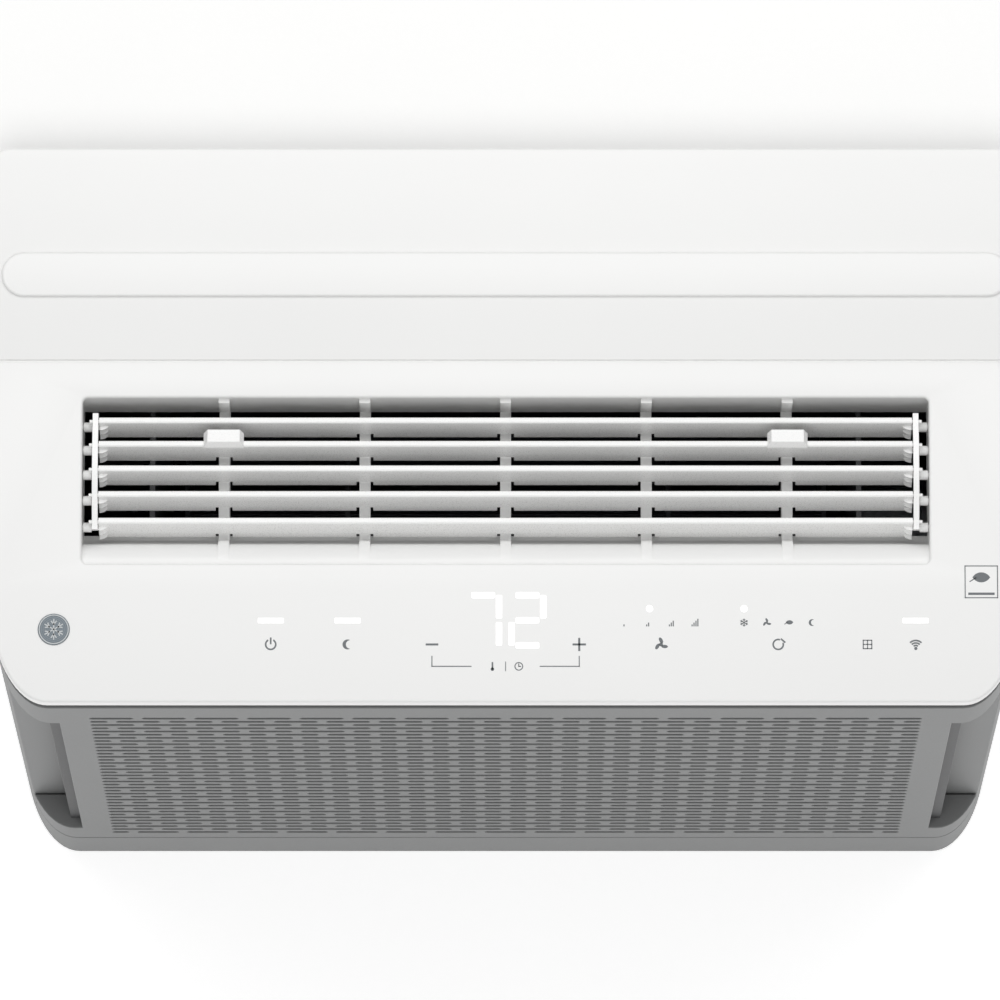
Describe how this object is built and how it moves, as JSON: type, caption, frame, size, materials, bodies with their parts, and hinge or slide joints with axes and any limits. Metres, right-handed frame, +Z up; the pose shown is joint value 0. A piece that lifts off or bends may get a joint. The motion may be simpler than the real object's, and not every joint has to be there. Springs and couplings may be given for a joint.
{
  "type": "window air conditioner",
  "caption": "Saddle-type window air conditioner: white top with louvred outlet and touch controls, grey slotted front, low bridge over the sill and an outdoor section.",
  "frame": {"origin": "centre of the footprint, on the surface that both sections stand on", "axes": "+Z up; the intake front faces -Y (room side) and the outdoor section is at +Y; +X is the right side seen from the room"},
  "size_m": [0.511, 0.721, 0.4206],
  "materials": {
    "white_abs": "satin moulded",
    "white_louvre": "gloss moulded",
    "grey_abs": "fine spark-eroded texture",
    "dark_plastic": "moulded",
    "filter_net": "woven nylon net",
    "badge_metal": "printed disc",
    "circuit_board": "solder mask",
    "fin_aluminium": "pressed foil",
    "copper": "drawn copper tube",
    "galvanised_steel": "zinc coated",
    "white_foam": "expanded bead foam",
    "wheel_plastic": "glass filled, moulded",
    "rubber": "moulded",
    "white_steel": "powder coated",
    "black_steel": "painted",
    "screw_steel": "zinc plated"
  },
  "bodies": {
    "chassis": {"control_panel": "white_abs", "badge": "badge_metal", "display_board": "circuit_board", "rear_cover": "white_abs", "sash_pad": "white_abs", "top_frame": "dark_plastic", "outlet_frame": "white_abs", "front_frame": "grey_abs", "intake_grille": "grey_abs", "indoor_housing": "grey_abs", "base_tray": "grey_abs", "evaporator_fins": "fin_aluminium", "evaporator_tubes": "copper", "evaporator_plates": "galvanised_steel", "drain_pan": "white_foam", "scroll_case": "dark_plastic", "blower_motor": "galvanised_steel", "motor_cradle": "galvanised_steel", "blower_bearing": "rubber", "control_box": "galvanised_steel", "control_board": "circuit_board", "cord_gland": "rubber", "bridge_channel": "galvanised_steel", "bridge_deck": "white_steel", "bridge_insulation": "white_foam", "sill_gasket": "rubber", "suction_line": "copper", "liquid_line": "copper", "discharge_line": "copper", "wiring_conduit": "rubber", "outdoor_base": "galvanised_steel", "rubber_feet": "rubber", "outdoor_cabinet": "white_steel", "rear_guard": "dark_plastic", "partition": "galvanised_steel", "compressor": "black_steel", "compressor_grommets": "rubber", "accumulator": "black_steel", "condenser_fins": "fin_aluminium", "condenser_tubes": "copper", "condenser_plates": "galvanised_steel", "fan_shroud": "dark_plastic", "fan_motor": "galvanised_steel", "fan_bracket": "galvanised_steel", "inverter_box": "galvanised_steel", "cabinet_screws": "screw_steel", "deck_screws": "screw_steel"},
    "louvre_1": {"louvre_blade_1": "white_louvre"},
    "louvre_2": {"louvre_blade_2": "white_louvre", "grip_tab_left": "white_louvre", "grip_tab_right": "white_louvre"},
    "louvre_3": {"louvre_blade_3": "white_louvre"},
    "louvre_4": {"louvre_blade_4": "white_louvre"},
    "louvre_5": {"louvre_blade_5": "white_louvre"},
    "tie_left": {"tie_bar_left": "white_louvre"},
    "tie_right": {"tie_bar_right": "white_louvre"},
    "filter": {"filter_frame": "dark_plastic", "filter_mesh": "filter_net"},
    "blower": {"blower_wheel": "wheel_plastic"},
    "propeller": {"condenser_fan": "wheel_plastic"}
  },
  "joints": [
    {"name": "louvre_3_tilt", "type": "hinge", "parent": "chassis", "child": "louvre_3", "pos_m": [0, -0.24427, 0.40987], "axis": [1, 0, 0], "range_deg": [-20, 20]},
    {"name": "louvre_1_tilt", "type": "hinge", "parent": "chassis", "child": "louvre_1", "pos_m": [0, -0.21887, 0.40487], "axis": [1, 0, 0], "range_deg": [-20, 20]},
    {"name": "louvre_2_tilt", "type": "hinge", "parent": "chassis", "child": "louvre_2", "pos_m": [0, -0.23157, 0.40862], "axis": [1, 0, 0], "range_deg": [-20, 20]},
    {"name": "louvre_4_tilt", "type": "hinge", "parent": "chassis", "child": "louvre_4", "pos_m": [0, -0.25697, 0.40862], "axis": [1, 0, 0], "range_deg": [-20, 20]},
    {"name": "louvre_5_tilt", "type": "hinge", "parent": "chassis", "child": "louvre_5", "pos_m": [0, -0.26967, 0.40487], "axis": [1, 0, 0], "range_deg": [-20, 20]},
    {"name": "tie_left_link", "type": "hinge", "parent": "louvre_3", "child": "tie_left", "pos_m": [0, -0.24272, 0.41567], "axis": [1, 0, 0], "range_deg": [-22, 22]},
    {"name": "tie_right_link", "type": "hinge", "parent": "louvre_3", "child": "tie_right", "pos_m": [0, -0.24272, 0.41567], "axis": [1, 0, 0], "range_deg": [-22, 22]},
    {"name": "filter_slide", "type": "slide", "parent": "chassis", "child": "filter", "axis": [1, 0, 0], "range_m": [0, 0.44]},
    {"name": "blower_spin", "type": "hinge", "parent": "chassis", "child": "blower", "pos_m": [0, -0.2185, 0.1566], "axis": [1, 0, 0], "continuous": true},
    {"name": "propeller_spin", "type": "hinge", "parent": "chassis", "child": "propeller", "pos_m": [0.07175, 0.2495, 0.2058], "axis": [0, 1, 0], "continuous": true}
  ],
  "couplings": [
    {"joint": "louvre_1_tilt", "follows": "louvre_3_tilt", "ratio": 1},
    {"joint": "louvre_2_tilt", "follows": "louvre_3_tilt", "ratio": 1},
    {"joint": "louvre_4_tilt", "follows": "louvre_3_tilt", "ratio": 1},
    {"joint": "louvre_5_tilt", "follows": "louvre_3_tilt", "ratio": 1},
    {"joint": "tie_left_link", "follows": "louvre_3_tilt", "ratio": -1},
    {"joint": "tie_right_link", "follows": "louvre_3_tilt", "ratio": -1}
  ]
}
